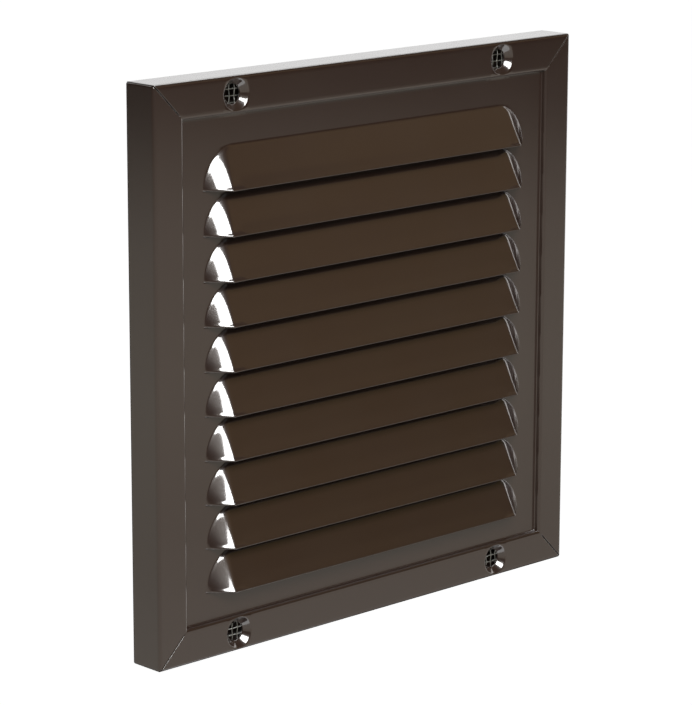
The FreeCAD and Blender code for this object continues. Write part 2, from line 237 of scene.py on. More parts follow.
def soft_least(a, b, softness):
    """The lesser of two heights, rounded by a parabola where they differ by less than the softness."""
    overlap = np.maximum(softness - np.abs(a - b), 0.0)
    return np.minimum(a, b) - overlap * overlap / (4.0 * np.maximum(softness, 1e-12))


def lay(front, back=None, room=0.0):
    """One grid of the sheet: front points, back points and the room for a cut edge.

    Where no back is given, the sheet's own normal finds it later.
    """
    if back is None:
        back = np.full(front.shape, np.nan)
    room = np.broadcast_to(np.asarray(room, float), front.shape[:-1])
    return np.concatenate([front, back, room[..., None]], axis=-1)


def grid_faces(rows, columns, keep=None):
    """Corner numbers of the cells between the lines of a grid, without the cells left out."""
    number = np.arange(rows * columns).reshape(rows, columns)
    cells = np.stack([number[:-1, :-1], number[:-1, 1:], number[1:, 1:], number[1:, :-1]], axis=-1)
    return cells[keep] if keep is not None else cells.reshape(-1, 4)


def bridge_faces(along_a, along_b):
    """Triangles between two lines of points that rise along the same axis.

    Each step of b meets the point of a nearest its middle, and each step of a meets the point of b
    that those leave to it. Points of b are numbered after those of a.
    """
    middles = (along_b[:-1] + along_b[1:]) / 2.0
    nearest = np.clip(np.searchsorted(along_a, middles), 0, len(along_a) - 1)
    step_a = np.arange(len(along_a) - 1)
    step_b = np.arange(len(along_b) - 1)
    partner = np.searchsorted(nearest, step_a, side="right") + len(along_a)
    first = np.stack([step_a, step_a + 1, partner], axis=1)
    second = np.stack([step_b + len(along_a), nearest, step_b + 1 + len(along_a)], axis=1)
    return np.concatenate([first, second])


def merge(parts):
    """Joins parts, each points and faces, at the points that they share.

    Points in one small cell are one. The cells are shifted a little, so that round sizes lie inside.
    """
    points = np.concatenate([part.reshape(-1, 7) for part, _ in parts])
    starts = np.cumsum([0] + [part.reshape(-1, 7).shape[0] for part, _ in parts])
    offset = 0.137
    cell = np.round(points[:, :3] / MERGE + offset).astype(np.int64)
    _, first, place = np.unique(cell, axis=0, return_index=True, return_inverse=True)
    place = place.ravel()
    faces = [place[part_faces + start] for (_, part_faces), start in zip(parts, starts)]
    return points[first], [row for block in faces for row in whole(block)]


def whole(faces):
    """The same faces as lists, each without a corner that it would have twice."""
    return [list(dict.fromkeys(row)) for row in faces.tolist()]


def turned_out(points, faces):
    """Faces of an open sheet with one side throughout, the one that looks along -Y on the panel."""
    mesh = bpy.data.meshes.new("sheet")
    mesh.from_pydata(points[:, :3].tolist(), [], faces)
    work = bmesh.new()
    work.from_mesh(mesh)
    bmesh.ops.recalc_face_normals(work, faces=work.faces)
    lean = sum(face.normal.y * face.calc_area() for face in work.faces)
    if lean > 0.0:
        bmesh.ops.reverse_faces(work, faces=work.faces)
    work.to_mesh(mesh)
    work.free()
    normals = np.empty(len(points) * 3)
    mesh.vertex_normals.foreach_get("vector", normals)
    corners = np.empty(len(mesh.loops), dtype=np.int64)
    mesh.loops.foreach_get("vertex_index", corners)
    starts = np.empty(len(mesh.polygons), dtype=np.int64)
    mesh.polygons.foreach_get("loop_start", starts)
    faces = np.split(corners, starts[1:])
    bpy.data.meshes.remove(mesh)
    return normals.reshape(-1, 3), faces


def thickened(points, faces, thickness):
    """A closed sheet from its front: the back lies one thickness behind, and each cut edge between
    them is half an ellipse whose height is the room left for it."""
    normals, faces = turned_out(points, faces)
    front = points[:, :3]
    back = np.where(np.isnan(points[:, 3:6]), front - normals * thickness, points[:, 3:6])
    start = np.concatenate(faces)
    end = np.concatenate([np.roll(face, -1) for face in faces])
    count = len(points)
    edge = ~np.isin(start * count + end, end * count + start)
    start, end = start[edge], end[edge]
    after = np.zeros(count, dtype=np.int64)
    before = np.zeros(count, dtype=np.int64)
    after[start] = end
    before[end] = start
    cut = start
    along = front[after[cut]] - front[before[cut]]
    out = np.cross(along, front[cut] - back[cut])
    out /= np.maximum(np.linalg.norm(out, axis=1, keepdims=True), 1e-12)
    middle = (front[cut] + back[cut]) / 2.0
    half = (front[cut] - back[cut]) / 2.0
    swell = points[cut, 6:7] * out
    rims = [middle + half * math.cos(turn) + swell * math.sin(turn)
            for turn in np.radians([45.0, 90.0, 135.0])]
    number = np.zeros(count, dtype=np.int64)
    number[cut] = np.arange(len(cut))
    rows_start = [start] + [2 * count + k * len(cut) + number[start] for k in range(3)] + [start + count]
    rows_end = [end] + [2 * count + k * len(cut) + number[end] for k in range(3)] + [end + count]
    sides = [np.stack([rows_end[k], rows_start[k], rows_start[k + 1], rows_end[k + 1]], axis=1)
             for k in range(4)]
    every = np.concatenate([front, back] + rims)
    all_faces = [face.tolist() for face in faces]
    all_faces += [(face[::-1] + count).tolist() for face in faces]
    all_faces += np.concatenate(sides).tolist()
    return every, all_faces


def placed_mesh(name, points, faces, material):
    """An object at the origin from points and faces, in one material."""
    mesh = bpy.data.meshes.new(name)
    mesh.from_pydata(points, [], faces)
    mesh.materials.append(material)
    thing = bpy.data.objects.new(name, mesh)
    bpy.context.scene.collection.objects.link(thing)
    return thing


def show(name, vertices, faces, material, node):
    """Puts a finished mesh into the scene, smooth, with its paint, riding on the frame."""
    piece = placed_mesh(name, vertices.tolist(), faces, material)
    piece.data.shade_smooth()
    piece.data.validate()
    weighted = piece.modifiers.new("Flat faces lead", "WEIGHTED_NORMAL")
    weighted.mode = "FACE_AREA"
    weighted.weight = 90
    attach(piece, "root")
    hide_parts(node)


def hole_offsets():
    """Places of the grid lines across a countersink, from its middle outwards.

    The inner ones stand at equal angles, so that the rings round the hole are even, and the outer
    ones follow the bends beside the border's face.
    """
    outer = np.array(BEND_LINES)
    turn = math.atan(FLAT_REACH / outer[-1])
    inner = outer[-1] * np.tan(np.linspace(-turn, turn, FLAT_LINES))
    return np.concatenate([-outer[::-1], inner, outer])


def border_profile(sheet, middle):
    """Section of the border from the panel outwards, down the side wall and in along the wall.

    Each point has its inset from the outside, its depth, the two parts of its normal and the share
    of the seam's gap. Bends are arcs about their own centres and the rest is straight.
    """
    inside = sheet.bend_inside
    outside = inside + sheet.thickness
    panel = sheet.depth - sheet.recess
    lines = hole_offsets()
    bends = len(BEND_LINES)
    before, flat, after = lines[:bends], lines[bends + 1:-bends - 1], lines[-bends:]
    on_panel = 0.001
    points = [[sheet.border + on_panel, -panel, 0.0, -1.0]]

    def bend(centre_in, centre_deep, radius, degrees, side):
        for turn in np.radians(degrees):
            cos, sin = math.cos(turn), math.sin(turn)
            points.append([centre_in + radius * cos, centre_deep + radius * sin, side * cos, side * sin])

    def angle_at(inset, centre_in):
        return math.degrees(math.acos(np.clip((inset - centre_in) / outside, -1.0, 1.0)))

    bend(sheet.border + inside, -panel - inside, inside, np.linspace(90.0, 180.0, 5), -1.0)
    inner_centre = sheet.border - outside
    shared = [-angle_at(middle + offset, inner_centre) for offset in after[::-1]]
    bend(inner_centre, outside - sheet.depth, outside, [0.0, -18.0, -36.0] + shared + [-90.0], 1.0)
    points += [[middle + offset, -sheet.depth, 0.0, -1.0] for offset in flat[::-1]]
    shared = [-angle_at(middle + offset, outside) for offset in before[::-1]]
    bend(outside, outside - sheet.depth, outside, [-90.0] + shared + [-145.0, -162.0, -180.0], 1.0)
    for share in (0.05, 0.35, 0.65, 0.95):
        points.append([0.0, outside - sheet.depth + share * (sheet.depth - 2.0 * outside), -1.0, 0.0])
    bend(outside, -outside, outside, np.linspace(180.0, 90.0, 6), 1.0)
    points += [[middle + offset, 0.0, 0.0, 1.0] for offset in (*flat, FLAT_REACH)]
    points.append([sheet.return_width, 0.0, 0.0, 1.0])
    points = np.array(points)
    in_front = points[:, 1] < MERGE - panel
    gap = np.where(in_front, smooth_step((inner_centre - points[:, 0]) / OPENING), 1.0)
    return np.column_stack([points, gap])


def face_depth(sheet, inset):
    """Depth of the border's face at an inset, with the bend on each side of it."""
    outside = sheet.bend_inside + sheet.thickness
    past = np.maximum(np.maximum(outside - inset, inset - (sheet.border - outside)), 0.0)
    past = np.minimum(past, outside)
    return outside - sheet.depth - np.sqrt(outside * outside - past * past)


def side_columns(centres):
    """Places along one side: the lines of its countersinks, with wide steps between them."""
    lines = hole_offsets()
    past_holes = 0.056
    if centres:
        between = np.array([0.0, 0.012, 0.024, 0.036, 0.041])
        places = [-between, between] + [centre + lines for centre in centres]
    else:
        places = [np.linspace(-0.048, 0.048, 9)]
    places.append(np.array([-past_holes, past_holes]))
    return np.unique(np.round(np.concatenate(places), 9))


def stretched_columns(columns, half, insets, gap_room):
    """Places along one side for each line of the section, ending on the mitre.

    Up to 60 mm from the middle the places are fixed, and beyond that they are shares of what is left
    up to the mitre, less the gap of the seam.
    """
    fixed = 0.060
    shares = np.array([0.0, 0.3, 0.6, 0.85, 0.93, 0.965, 0.985, 1.0])
    reach = half - insets - gap_room
    right = fixed + shares[None, :] * (reach[:, None] - fixed)
    middle = np.broadcast_to(columns, (len(insets), len(columns)))
    return np.concatenate([-right[:, ::-1], middle, right], axis=1)


def on_side(side, along, inset, deep, half_wide, half_high):
    """Turns places along and across one side into points: top, right, bottom and left."""
    across = (half_high if side % 2 == 0 else half_wide) - inset
    level = [(along, across), (across, -along), (-along, -across), (-across, along)][side]
    return np.stack([level[0], np.broadcast_to(deep, along.shape), level[1]], axis=-1)


def ring_block(values, top, bottom, left, right):
    """The points round a block of grid cells, in order and closed."""
    return np.concatenate([
        values[top, left:right], values[top:bottom, right], values[bottom, right:left:-1],
        values[bottom:top:-1, left], values[top:top + 1, left]])


def countersink(sheet, holes, centre, middle, outline):
    """Rings from the screw hole out to the square outline, as points along, inset and deep.

    The front is the deeper of the border's face and a cone, rounded where they meet. The back is the
    cone again, one thickness behind along its own normal, and level with the panel's back at most.
    Past the rim the rings go over to the square, where the back follows the border's bends.
    """
    along, inset = outline[:, 0], outline[:, 1]
    angle = np.arctan2(inset - middle, along - centre)
    reach = holes.dimple_radius - holes.radius
    radii = holes.radius + np.array([0.0, 0.16, 0.42, 0.68, 0.87, 0.95, 1.0]) * reach
    past_rim = holes.dimple_radius + 0.0001
    slope = holes.dimple_depth / reach
    foot = holes.dimple_depth - sheet.depth
    skin = sheet.thickness * math.hypot(1.0, slope)
    panel_back = sheet.recess + sheet.thickness - sheet.depth
    outside = sheet.bend_inside + sheet.thickness
    drawn_in, drawn_share = 0.0032, 0.2

    def cone(radius):
        return foot - (radius - holes.radius) * slope

    def ring(radius, share=0.0):
        a = centre + (1.0 - share) * radius * np.cos(angle) + share * (along - centre)
        q = middle + (1.0 - share) * radius * np.sin(angle) + share * (inset - middle)
        return a, q

    def pressed(radius):
        a, q = ring(radius)
        deep = -soft_least(-face_depth(sheet, q), np.full(len(a), -cone(radius)), holes.rim)
        return np.stack([a, q, deep], axis=1)

    def behind_cone(radius):
        radius = radius - drawn_share * max(radius - drawn_in, 0.0)
        a, q = ring(radius)
        return np.stack([a, q, np.full(len(a), min(panel_back, cone(radius) + skin))], axis=1)

    def behind_face(a, q):
        lean = (np.minimum(q - outside, 0.0) + np.maximum(q - sheet.border + outside, 0.0)) / outside
        deep = face_depth(sheet, q) + sheet.thickness * np.sqrt(1.0 - lean * lean)
        return np.stack([a, q - sheet.thickness * lean, deep], axis=1)

    front = [pressed(radius) for radius in (*radii, past_rim)]
    back = [behind_cone(radius) for radius in radii] + [behind_face(*ring(past_rim))]
    for share in (0.35, 0.7):
        a, q = ring(past_rim, share)
        front.append(np.stack([a, q, face_depth(sheet, q)], axis=1))
        back.append(behind_face(a, q))
    front.append(outline[:, :3])
    back.append(outline[:, 3:6])
    return np.array(front), np.array(back)


def plain_hole(sheet, holes, centre, middle, outline):
    """Rings from a punched hole in the inward fold out to the square outline."""
    along, inset = outline[:, 0], outline[:, 1]
    angle = np.arctan2(inset - middle, along - centre)
    radii = np.array([1.0, 1.06, 1.2])[:, None] * holes.radius
    a = centre + radii * np.cos(angle)
    q = middle + radii * np.sin(angle)
    front = np.stack([a, q, np.zeros(a.shape)], axis=-1)
    back = np.stack([a, q, np.full(a.shape, -sheet.thickness)], axis=-1)
    front = np.concatenate([front, outline[None, :, :3]])
    back = np.concatenate([back, outline[None, :, 3:6]])
    return front, back


def border_parts(sheet, holes):
    """The raised border, side walls and inward folds: one section carried along four sides.

    Where a countersink or a hole of the fold goes, a block of the grid makes room for its rings.
    """
    half_wide, half_high = sheet.width / 2.0, sheet.height / 2.0
    middle = half_high - holes.spacing_up / 2.0
    profile = border_profile(sheet, middle)
    insets, deeps, lean_in, lean_deep, gap_share = profile.T
    behind_in = insets - sheet.thickness * lean_in
    behind_deep = deeps - sheet.thickness * lean_deep
    seam = sheet.seam_half * math.sqrt(2.0) * gap_share
    openings = ((BEND_LINES[-1], True, countersink), (FLAT_REACH, False, plain_hole))
    first_rows = {}
    parts = []
    for side in range(4):
        half = half_wide if side % 2 == 0 else half_high
        centres = [-holes.spacing_across / 2.0, holes.spacing_across / 2.0] if side % 2 == 0 else []
        columns = side_columns(centres)
        along = stretched_columns(columns, half, insets, seam)
        along_back = stretched_columns(columns, half, behind_in, seam)
        from_corner = np.clip(half - np.abs(along), 0.0, sheet.corner_round)
        short = sheet.corner_round - from_corner
        cut = sheet.corner_round - np.sqrt(sheet.corner_round ** 2 - short * short)
        inset = np.maximum(insets[:, None], cut)
        inset_back = np.broadcast_to(behind_in[:, None], along.shape)
        deep = np.broadcast_to(deeps[:, None], along.shape)
        deep_back = np.broadcast_to(behind_deep[:, None], along.shape)
        local = np.stack([along, inset, deep, along_back, inset_back, deep_back], axis=-1)
        room = EDGE_SHARE / 2.0 * sheet.seam_half * np.broadcast_to(gap_share[:, None], along.shape)
        keep = np.ones((along.shape[0] - 1, along.shape[1] - 1), dtype=bool)
        pieces = []
        for centre in centres:
            for edge, on_front, shape in openings:
                level = deeps < -sheet.depth / 2.0 if on_front else deeps > -MERGE
                rows = np.flatnonzero(level & (np.abs(insets - middle) < edge + MERGE))
                cols = np.flatnonzero(np.abs(along[rows[0]] - centre) < edge + MERGE)
                top, bottom, left, right = rows[0], rows[-1], cols[0], cols[-1]
                keep[top:bottom, left:right] = False
                outline = ring_block(local, top, bottom, left, right)
                pieces.append(shape(sheet, holes, centre, middle, outline))
        world = on_side(side, along, inset, deep, half_wide, half_high)
        world_back = on_side(side, along_back, inset_back, deep_back, half_wide, half_high)
        parts.append((lay(world, world_back, room), grid_faces(*along.shape, keep)))
        first_rows[side] = world[0]
        for rings in pieces:
            front, back = (on_side(side, *np.moveaxis(ring, -1, 0), half_wide, half_high) for ring in rings)
            parts.append((lay(front, back, sheet.edge_round), grid_faces(*front.shape[:2])))
    return parts, first_rows


def hood_height(louvre, end_centre, across, up):
    """How far a louvre stands out from the panel, above its slit.

    The blade falls in a straight line from the lip to the bend at the top. The end goes level by
    level from the quarter circle about the end's centre to an almost upright crease, where it meets
    the blade, with a slight swell. Close to the circle a steep slope closes it. The least counts,
    with a soft crease between them.
    """
    closing_slope, softest, least_span = 1.3, 0.8, 0.0003
    past = np.maximum(np.abs(across) - end_centre, 0.0)
    slope = louvre.out / (louvre.rise - louvre.blade_bend / 2.0)
    blade = slope * ramp(louvre.rise - up, louvre.blade_bend)
    arc = np.sqrt(np.maximum(louvre.rise ** 2 - up ** 2, 0.0))
    span = arc - (louvre.rise - louvre.end_slope - louvre.crease_lean * up)
    share = ramp(arc - past, louvre.end_foot) / np.maximum(span - louvre.end_foot / 2.0, least_span)
    swell = 4.0 * louvre.end_swell / louvre.out * np.clip(share * (1.0 - share), 0.0, 0.25)
    inward = louvre.rise - np.hypot(past, up)
    closing = closing_slope * ramp(inward, louvre.end_foot)
    end = soft_least(blade * (share + swell), closing, softest * np.minimum(closing, louvre.crease))
    softness = np.minimum(louvre.crease, softest * np.maximum(end, 0.0))
    return np.maximum(soft_least(blade, end, softness), 0.0)


def louvre_parts(sheet, louvre, first_rows):
    """The panel with its pressed louvres, up to the first line of the border on each side.

    Each louvre is a grid of its blade between two quarter circles in squares. The circles are rings
    about the end's centre, even on the slope and close together at the foot.
    """
    panel = sheet.depth - sheet.recess
    slit_end = sheet.width / 2.0 - sheet.border - louvre.end_margin
    end_centre = slit_end - louvre.rise
    square = louvre.rise + SQUARE_MARGIN
    top_slit = louvre.pitch * (louvre.count - 1) / 2.0 - louvre.rise / 2.0
    foot = louvre.rise - np.array([0.0005, 0.00035, 0.00024, 0.00015, 0.00008, 0.0])
    rings = np.concatenate([[0.0, 0.0022, 0.0039], np.arange(0.0046, 0.0106, 0.00028), foot])
    lift_reach = 0.001
    corner = [math.degrees(math.atan2(square, louvre.rise)),
              math.degrees(math.atan2(square, (louvre.rise + square) / 2.0))]
    rays = np.radians(np.unique(np.concatenate([np.linspace(0.0, 90.0, 37), corner])))
    circle = np.stack([np.cos(rays), np.sin(rays)], axis=-1)
    outline = square * circle / np.max(np.abs(circle), axis=-1, keepdims=True)
    outline[-1, 0] = 0.0
    outline[0, 1] = 0.0
    past_circle = (louvre.rise * circle + outline) / 2.0
    quarter = np.concatenate([rings[:, None, None] * circle[None], past_circle[None], outline[None]])
    quarter[:, -1, 0] = 0.0
    ups = quarter[:, -1, 1]
    broad = np.linspace(-end_centre, end_centre, 9)
    top_line = quarter[-1][quarter[-1, :, 1] >= square - MERGE]
    wing = end_centre + np.sort(top_line[:, 0])
    across_top = np.unique(np.round(np.concatenate([-wing, broad, wing]), 9))
    side_line = np.sort(quarter[-1][quarter[-1, :, 0] >= square - MERGE][:, 1])

    def opening(across):
        return smooth_step((slit_end - np.abs(across)) / OPENING)

    def pressed(across, up, slit):
        lift = louvre.lip_half * opening(across) * np.maximum(1.0 - up / lift_reach, 0.0)
        height = hood_height(louvre, end_centre, across, up)
        points = np.stack([across, -panel - height, slit + up + lift], axis=-1)
        return lay(points, None, EDGE_SHARE * louvre.lip_half * opening(across))

    parts = []
    slits = top_slit - louvre.pitch * np.arange(louvre.count)
    reach = end_centre + square
    high, low = slits[0] + louvre.pitch, slits[-1] + square - louvre.pitch
    half_slit = louvre.slit_half * opening(across_top)
    for number, slit in enumerate(slits):
        across, up = np.meshgrid(broad, ups)
        parts.append((pressed(across, up, slit), grid_faces(*across.shape)))
        for side in (-1.0, 1.0):
            across = side * (end_centre + quarter[..., 0])
            parts.append((pressed(across, quarter[..., 1], slit), grid_faces(*across.shape)))
        above = half_slit if number else np.zeros(len(across_top))
        parts.append(flat_strip(panel, across_top, slit + square, slit + louvre.pitch - above, louvre))
    parts.append(flat_strip(panel, across_top, low, slits[-1] - half_slit, louvre))
    side_ups = [slit + side_line for slit in slits] + [slits + louvre.pitch, [low]]
    side_ups = np.unique(np.round(np.concatenate(side_ups), 9))
    lines = [
        (across_top, np.full(len(across_top), high), 0),
        (np.full(len(side_ups), reach), side_ups[::-1], 1),
        (across_top[::-1], np.full(len(across_top), low), 2),
        (np.full(len(side_ups), -reach), side_ups, 3)]
    for across, up, side in lines:
        near = np.stack([across, np.full(len(across), -panel), up], axis=-1)
        far = first_rows[side]
        axis = [0, 2, 0, 2][side]
        sign = [1.0, -1.0, -1.0, 1.0][side]
        along_near = sign * near[:, axis] / np.max(np.abs(near[:, axis]))
        along_far = sign * far[:, axis] / np.max(np.abs(far[:, axis]))
        both = np.concatenate([near, far])
        parts.append((lay(both), bridge_faces(along_near, along_far)))
    return parts


def flat_strip(panel, across, low, high, louvre):
    """The narrow flat strip of panel between a louvre's upper bend and the slit above it."""
    rows = np.stack([np.broadcast_to(low, across.shape), np.broadcast_to(high, across.shape)])
    wide = np.broadcast_to(across, rows.shape)
    points = np.stack([wide, np.full(rows.shape, -panel), rows], axis=-1)
    from_end = np.max(np.abs(across)) - np.abs(wide)
    room = EDGE_SHARE * louvre.slit_half * smooth_step(from_end / (OPENING + SQUARE_MARGIN))
    return lay(points, None, room), grid_faces(*rows.shape)


def gloss_paint(finishes):
    """Dark brown gloss paint: slow drifts of colour and sheen, a very fine orange peel and a sway."""
    material, tree, shader = new_material("gloss_paint")
    coordinates = tree.nodes.new("ShaderNodeTexCoord")
    drift = noise(tree, coordinates, scale=38.0, detail=3.0)
    tinted(tree, drift, shader, finishes.paint, finishes.paint_warm)
    sheen = noise(tree, coordinates, scale=60.0, detail=3.0)
    rough = carried(tree, sheen.outputs["Fac"], NOISE_MIDDLE, (0.28, 0.34))
    tree.links.new(rough.outputs["Result"], shader.inputs["Roughness"])
    peel = noise(tree, coordinates, scale=600.0, detail=1.0)
    fine = bump(tree, peel, strength=0.04, distance=0.00002)
    sway = noise(tree, coordinates, scale=16.0, detail=1.0)
    broad = bump(tree, sway, strength=0.10, distance=0.0004)
    tree.links.new(fine.outputs["Normal"], broad.inputs["Normal"])
    tree.links.new(broad.outputs["Normal"], shader.inputs["Normal"])
    tree.links.new(broad.outputs["Normal"], shader.inputs["Coat Normal"])
    shader.inputs["IOR"].default_value = 1.5
    shader.inputs["Coat Weight"].default_value = 1.0
    shader.inputs["Coat Roughness"].default_value = 0.07
    shader.inputs["Coat IOR"].default_value = 2.0
    return material


def plain_wire(finishes):
    """Drawn metal wire, dull grey, with small changes of sheen along it."""
    material, tree, shader = new_material("plain_wire")
    coordinates = tree.nodes.new("ShaderNodeTexCoord")
    grain = noise(tree, coordinates, scale=900.0, detail=3.0)
    rough = carried(tree, grain.outputs["Fac"], NOISE_MIDDLE, (0.28, 0.46))
    tree.links.new(rough.outputs["Result"], shader.inputs["Roughness"])
    tinted(tree, grain, shader, 0.8 * np.array(finishes.wire), finishes.wire)
    shader.inputs["Metallic"].default_value = 1.0
    return material


def new_material(name):
    """A material with its nodes, and its main shader."""
    material = bpy.data.materials.new(name)
    material.use_nodes = True
    tree = material.node_tree
    return material, tree, tree.nodes["Principled BSDF"]


def bare_material(name):
    """A material without a shader, and the socket that its surface goes into."""
    material, tree, shader = new_material(name)
    tree.nodes.remove(shader)
    return material, tree, tree.nodes["Material Output"].inputs["Surface"]


def tinted(tree, source, shader, first, second):
    """Colours a shader between two colours by a noise."""
    tint = tree.nodes.new("ShaderNodeMix")
    tint.data_type = "RGBA"
    tint.inputs["A"].default_value = (*first, 1.0)
    tint.inputs["B"].default_value = (*second, 1.0)
    tree.links.new(source.outputs["Fac"], tint.inputs["Factor"])
    tree.links.new(tint.outputs["Result"], shader.inputs["Base Color"])


def noise(tree, coordinates, scale, detail):
    """Noise in the object's own place, so many waves to a metre."""
    node = tree.nodes.new("ShaderNodeTexNoise")
    node.inputs["Scale"].default_value = scale
    node.inputs["Detail"].default_value = detail
    tree.links.new(coordinates.outputs["Object"], node.inputs["Vector"])
    return node


def carried(tree, source, old, new):
    """Carries a value from one range over to another in a straight line, and holds it at the ends."""
    node = tree.nodes.new("ShaderNodeMapRange")
    for name, value in zip(("From Min", "From Max", "To Min", "To Max"), (*old, *new)):
        node.inputs[name].default_value = value
    tree.links.new(source, node.inputs["Value"])
    return node


def bump(tree, source, strength, distance):
    """A bump from a noise."""
    node = tree.nodes.new("ShaderNodeBump")
    node.inputs["Strength"].default_value = strength
    node.inputs["Distance"].default_value = distance
    tree.links.new(source.outputs["Fac"], node.inputs["Height"])
    return node


class GRILLE_OT_cover(bpy.types.Operator):
    """Build the folded and pressed sheet with its louvres, countersinks and mitred border"""

    bl_idname = "grille.cover"
    bl_label = "Louvred cover"

    def execute(self, context):
        scene = context.scene
        sheet, louvre, holes = scene.grille_sheet, scene.grille_louvre, scene.grille_holes
        parts, first_rows = border_parts(sheet, holes)
        parts += louvre_parts(sheet, louvre, first_rows)
        points, faces = merge(parts)
        vertices, faces = thickened(points, faces, sheet.thickness)
        paint = gloss_paint(scene.grille_finishes)
        show("pressed_cover", vertices, faces, paint, "louvred_cover")
        return {"FINISHED"}


class GRILLE_OT_fly_mesh(bpy.types.Operator):
    """Weave the fly mesh behind the louvres, upright and level wires"""

    bl_idname = "grille.fly_mesh"
    bl_label = "Fly mesh"

    def execute(self, context):
        wires = context.scene.grille_wires
        metal = plain_wire(context.scene.grille_finishes)
        middle_x, middle_z = (MESH_LOW.x + MESH_HIGH.x) / 2.0, (MESH_LOW.z + MESH_HIGH.z) / 2.0
        reach = (MESH_HIGH.x - MESH_LOW.x) / 2.0
        pitch = 2.0 * reach / wires.count
        end_gap = 0.02 * pitch
        radius = wires.diameter / 2.0
        sheet = context.scene.grille_sheet
        plane = sheet.recess - sheet.depth + sheet.thickness + wires.diameter
        lines = (np.arange(wires.count) + 0.5) * pitch - reach
        stations = np.linspace(end_gap - reach, reach - end_gap, 2 * wires.count + 1)
        # A wire swings by its radius, as a sine with half a wave from one crossing wire to the next
        wave = np.sin((stations + reach) / pitch * math.pi)
        turns = np.radians(np.arange(0.0, 360.0, 60.0))
        for name, upright in (("mesh_warp", True), ("mesh_weft", False)):
            way = (-1.0) ** np.arange(wires.count) * (1.0 if upright else -1.0)
            bow = radius * way[:, None] * wave[None, :]
            side = radius * np.cos(turns)
            deep = radius * np.sin(turns)
            shape = (wires.count, len(stations), len(turns))
            across = np.broadcast_to(lines[:, None, None] + side, shape)
            along = np.broadcast_to(stations[None, :, None], shape)
            back = plane + bow[:, :, None] + deep
            level = (across, along) if upright else (along, across)
            points = np.stack([level[0] + middle_x, back, level[1] + middle_z], axis=-1)
            show(name, points.reshape(-1, 3), tube_faces(*shape), metal, "insect_mesh")
        return {"FINISHED"}


def tube_faces(tubes, stations, sides):
    """Faces of many tubes laid out as tube, station and side, each closed at both ends."""
    number = np.arange(tubes * stations * sides).reshape(tubes, stations, sides)
    nearer = np.roll(number, -1, axis=2)
    walls = np.stack([number[:, :-1], nearer[:, :-1], nearer[:, 1:], number[:, 1:]], axis=-1)
    starts = number[:, 0, ::-1]
    ends = number[:, -1]
    return walls.reshape(-1, 4).tolist() + starts.tolist() + ends.tolist()


def toward(azimuth, elevation, distance):
    """A place round the grille: azimuth 0 is straight in front, positive to the right."""
    a, e = math.radians(azimuth), math.radians(elevation)
    return Vector((math.sin(a) * math.cos(e), -math.cos(a) * math.cos(e), math.sin(e))) * distance


def facing_frame(place, up_hint):
    """A matrix at a place whose -Z looks at the origin, with its Y near a given direction."""
    back = place.normalized()
    right = up_hint.cross(back).normalized()
    up = back.cross(right)
    matrix = Matrix((right, up, back)).transposed().to_4x4()
    matrix.translation = place
    return matrix


def area_lamp(name, first, last, tall, power):
    """A soft lamp that stands up from the line between two places and looks at the grille."""
    edge = last - first
    middle = (first + last) / 2.0
    sideways = edge.normalized()
    inward = -middle.normalized()
    rise = sideways.cross(inward)
    rise = rise if rise.z > 0.0 else -rise
    lean = tall / (2.0 * middle.length)
    rise = rise * math.sqrt(1.0 - lean * lean) + inward * lean
    lamp = bpy.data.lights.new(name, "AREA")
    lamp.shape = "RECTANGLE"
    lamp.size = edge.length
    lamp.size_y = tall
    lamp.energy = power
    holder = bpy.data.objects.new(name, lamp)
    holder.matrix_world = facing_frame(middle + rise * tall / 2.0, rise)
    holder.visible_camera = False
    bpy.context.scene.collection.objects.link(holder)


def turned(first, last, steps, radii, levels):
    """Points at radii and levels, turned about the upright axis from one azimuth to another.

    Across is the radius times the sine of the azimuth, and Y is minus the radius times its cosine.
    """
    around = np.radians(np.linspace(first, last, steps))
    radii, levels = np.array(radii)[:, None], np.array(levels)[:, None]
    across = radii * np.sin(around)
    return np.stack([across, -radii * np.cos(around), np.broadcast_to(levels, across.shape)], axis=-1)


def dark_room(first, last, drop):
    """A sheet on the floor and a curved wall round the front and the left, seen only in the gloss.

    The wall is an arc about the upright axis. It is grey low down, dark in the middle and a dim warm
    brown above.
    """
    foot = SHEET_LIFT - drop
    points = turned(first, last, 49, (0.4, 1.2, 1.3, 1.6, 0.2), (foot, foot, 0.0, 1.6, 2.2))
    material, tree, surface = bare_material("dark_room")
    glow = tree.nodes.new("ShaderNodeEmission")
    coordinates = tree.nodes.new("ShaderNodeTexCoord")
    parts = tree.nodes.new("ShaderNodeSeparateXYZ")
    lowest, highest = -0.5, 1.0
    height = carried(tree, parts.outputs["Z"], (lowest, highest), (0.0, 1.0))
    shades = tree.nodes.new("ShaderNodeValToRGB")
    stops = [
        (-0.50, (0.40, 0.37, 0.33)), (-0.40, (0.32, 0.29, 0.25)), (-0.30, (0.37, 0.34, 0.29)),
        (-0.20, (0.32, 0.29, 0.25)), (-0.16, (0.22, 0.20, 0.17)), (-0.12, (0.08, 0.07, 0.06)),
        (-0.07, (0.00, 0.00, 0.00)), (0.20, (0.00, 0.00, 0.00)), (0.45, (0.10, 0.07, 0.03)),
        (0.75, (0.19, 0.13, 0.065)), (1.00, (0.05, 0.04, 0.03))]
    elements = shades.color_ramp.elements
    while len(elements) < len(stops):
        elements.new(0.5)
    for element, (level, colour) in zip(elements, stops):
        element.position = (level - lowest) / (highest - lowest)
        element.color = (*colour, 1.0)
    tree.links.new(coordinates.outputs["Object"], parts.inputs[0])
    tree.links.new(height.outputs["Result"], shades.inputs["Fac"])
    tree.links.new(shades.outputs["Color"], glow.inputs["Color"])
    tree.links.new(glow.outputs[0], surface)
    only_in_gloss("dark_room", points, material)


